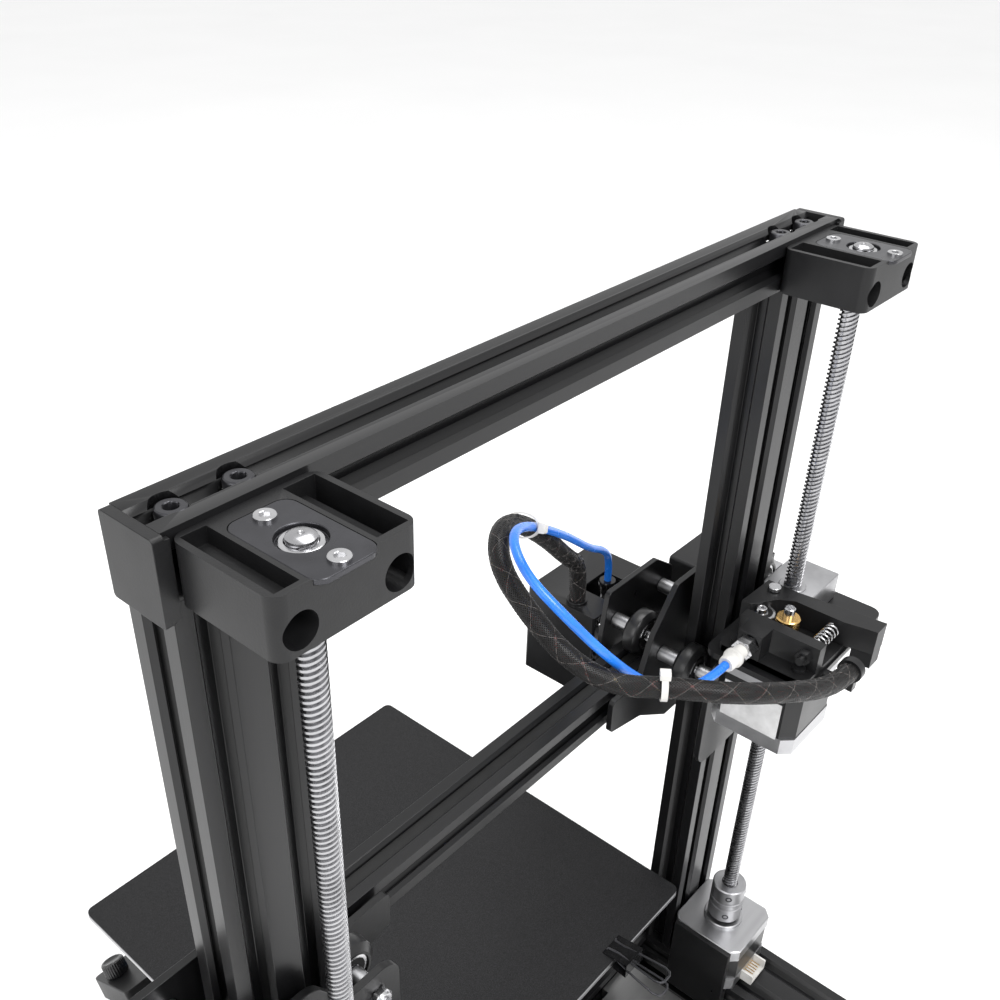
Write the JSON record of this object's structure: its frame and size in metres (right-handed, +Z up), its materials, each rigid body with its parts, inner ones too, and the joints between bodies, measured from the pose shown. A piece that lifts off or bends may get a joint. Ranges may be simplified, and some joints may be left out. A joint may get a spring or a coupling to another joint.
{
  "type": "fdm printer",
  "caption": "Desktop fused-filament printer: black slotted-bar portal frame with a leadscrew behind each post, X gantry with hot end, sliding heated bed and a tube-fed filament drive.",
  "frame": {"origin": "middle of the footprint, on the table", "axes": "+Z up, +X to the machine's right seen from its front, +Y to its back"},
  "size_m": [0.4526, 0.4382, 0.48],
  "materials": {
    "black_bar": "satin, black anodised",
    "black_plastic": "moulded, fine grain",
    "rubber": "matt",
    "dark_plate": "satin",
    "screw_steel": "bright",
    "motor_body": "matt black with bare metal ends",
    "black_plate": "powder coated",
    "belt": "toothed",
    "supply_case": "perforated",
    "red_plastic": "gloss",
    "nut_metal": "bare",
    "wheel_black": "turned",
    "brass": "turned",
    "blue_tube": "smooth",
    "sleeve": "braided",
    "bed_plate": "bare edge",
    "bed_sheet": "fine texture"
  },
  "bodies": {
    "frame": {"base_side_rails": "black_bar", "base_cross_beams": "black_bar", "bed_rail": "black_bar", "rubber_feet": "rubber", "posts": "black_bar", "top_beam": "black_bar", "beam_end_caps": "black_plastic", "screw_holders": "black_plastic", "screw_end_plates": "dark_plate", "frame_screws": "screw_steel", "z_motors": "motor_body", "motor_brackets": "black_plate", "bed_belt": "belt", "bed_motor": "motor_body", "bed_idler": "black_plastic", "power_supply": "supply_case", "control_box": "black_plate", "display_case": "black_plastic"},
    "rocker": {"power_switch": "red_plastic"},
    "menu_knob": {"display_knob": "black_plastic"},
    "screw_left": {"leadscrew_left": "screw_steel"},
    "screw_right": {"leadscrew_right": "screw_steel"},
    "gantry": {"x_beam": "black_bar", "gantry_front_plates": "black_plate", "gantry_rear_plates": "black_plate", "leadscrew_nuts": "nut_metal", "gantry_axles": "screw_steel", "outer_wheels": "wheel_black", "x_motor": "motor_body", "x_belt": "belt", "x_idler": "black_plastic", "x_motor_cover": "black_plastic", "feeder_bracket": "black_plate", "feeder_motor": "motor_body", "feeder_body": "black_plastic", "feeder_spring": "screw_steel", "bowden_tube": "blue_tube", "cable_harness": "sleeve"},
    "roller_left": {"z_wheel_left": "wheel_black"},
    "roller_right": {"z_wheel_right": "wheel_black"},
    "pulley": {"x_pulley": "nut_metal"},
    "drive_gear": {"feeder_gear": "brass"},
    "lever": {"feeder_lever": "black_plastic"},
    "carriage": {"carriage_plate": "black_plate", "carriage_axles": "screw_steel", "hotend_shroud": "black_plate", "hotend": "nut_metal"},
    "x_roller_1": {"x_wheel_1": "wheel_black"},
    "x_roller_2": {"x_wheel_2": "wheel_black"},
    "x_roller_3": {"x_wheel_3": "wheel_black"},
    "bed": {"heated_bed": "bed_plate", "build_sheet": "bed_sheet", "bed_carriage": "black_plate", "bed_supports": "screw_steel", "bed_wheels": "wheel_black", "bed_clips": "black_plate"},
    "knob_front_left": {"bed_knob_front_left": "black_plastic"},
    "knob_rear_left": {"bed_knob_rear_left": "black_plastic"},
    "knob_front_right": {"bed_knob_front_right": "black_plastic"},
    "knob_rear_right": {"bed_knob_rear_right": "black_plastic"}
  },
  "joints": [
    {"name": "z_lift", "type": "slide", "parent": "frame", "child": "gantry", "axis": [0, 0, 1], "range_m": [-0.0827, 0.074]},
    {"name": "leadscrew_left_turn", "type": "hinge", "parent": "frame", "child": "screw_left", "pos_m": [-0.136, 0.098, 0.3], "axis": [0, 0, 1], "range_deg": [-3400, 3800]},
    {"name": "leadscrew_right_turn", "type": "hinge", "parent": "frame", "child": "screw_right", "pos_m": [0.154, 0.098, 0.3], "axis": [0, 0, 1], "range_deg": [-3400, 3800]},
    {"name": "z_wheel_left_roll", "type": "hinge", "parent": "gantry", "child": "roller_left", "pos_m": [-0.1081, 0.066, 0.266], "axis": [0, 1, 0], "range_deg": [-450, 450]},
    {"name": "z_wheel_right_roll", "type": "hinge", "parent": "gantry", "child": "roller_right", "pos_m": [0.1261, 0.066, 0.266], "axis": [0, 1, 0], "range_deg": [-450, 450]},
    {"name": "x_travel", "type": "slide", "parent": "gantry", "child": "carriage", "axis": [1, 0, 0], "range_m": [-0.01, 0.26]},
    {"name": "x_wheel_1_roll", "type": "hinge", "parent": "carriage", "child": "x_roller_1", "pos_m": [-0.156, 0.033, 0.2684], "axis": [0, 1, 0], "range_deg": [-80, 1400]},
    {"name": "x_wheel_2_roll", "type": "hinge", "parent": "carriage", "child": "x_roller_2", "pos_m": [-0.113, 0.033, 0.2684], "axis": [0, 1, 0], "range_deg": [-80, 1400]},
    {"name": "x_wheel_3_roll", "type": "hinge", "parent": "carriage", "child": "x_roller_3", "pos_m": [-0.1345, 0.033, 0.2276], "axis": [0, 1, 0], "range_deg": [-1400, 80]},
    {"name": "x_pulley_turn", "type": "hinge", "parent": "gantry", "child": "pulley", "pos_m": [-0.203, 0.033, 0.248], "axis": [0, 1, 0], "range_deg": [-110, 2400]},
    {"name": "y_travel", "type": "slide", "parent": "frame", "child": "bed", "axis": [0, 1, 0], "range_m": [-0.0895, 0.1425]},
    {"name": "lever_press", "type": "hinge", "parent": "gantry", "child": "lever", "pos_m": [-0.1245, 0.0945, 0.311], "axis": [0, 0, 1], "range_deg": [-8, 0], "stiffness_Nm_per_rad": 1.2, "springref_deg": 6.88, "deforming": ["feeder_spring"]},
    {"name": "feeder_gear_turn", "type": "hinge", "parent": "gantry", "child": "drive_gear", "pos_m": [-0.109, 0.11, 0.312], "axis": [0, 0, 1], "continuous": true},
    {"name": "menu_knob_turn", "type": "hinge", "parent": "frame", "child": "menu_knob", "pos_m": [0.115, -0.1597, 0.04199], "axis": [0, -0.5, 0.866], "continuous": true},
    {"name": "power_rocker", "type": "hinge", "parent": "frame", "child": "rocker", "pos_m": [-0.087, 0.172, 0.023], "axis": [1, 0, 0], "range_deg": [-7, 7]},
    {"name": "knob_front_left_turn", "type": "hinge", "parent": "bed", "child": "knob_front_left", "pos_m": [-0.076, -0.1215, 0.07], "axis": [0, 0, 1], "continuous": true},
    {"name": "knob_rear_left_turn", "type": "hinge", "parent": "bed", "child": "knob_rear_left", "pos_m": [-0.076, 0.0485, 0.07], "axis": [0, 0, 1], "continuous": true},
    {"name": "knob_front_right_turn", "type": "hinge", "parent": "bed", "child": "knob_front_right", "pos_m": [0.094, -0.1215, 0.07], "axis": [0, 0, 1], "continuous": true},
    {"name": "knob_rear_right_turn", "type": "hinge", "parent": "bed", "child": "knob_rear_right", "pos_m": [0.094, 0.0485, 0.07], "axis": [0, 0, 1], "continuous": true}
  ],
  "couplings": [
    {"joint": "leadscrew_left_turn", "follows": "z_lift", "rad_per_m": -785.4},
    {"joint": "leadscrew_right_turn", "follows": "z_lift", "rad_per_m": -785.4},
    {"joint": "z_wheel_left_roll", "follows": "z_lift", "rad_per_m": -91.743},
    {"joint": "z_wheel_right_roll", "follows": "z_lift", "rad_per_m": 91.743},
    {"joint": "x_wheel_1_roll", "follows": "x_travel", "rad_per_m": 91.743},
    {"joint": "x_wheel_2_roll", "follows": "x_travel", "rad_per_m": 91.743},
    {"joint": "x_wheel_3_roll", "follows": "x_travel", "rad_per_m": -91.743},
    {"joint": "x_pulley_turn", "follows": "x_travel", "rad_per_m": 157.08}
  ]
}
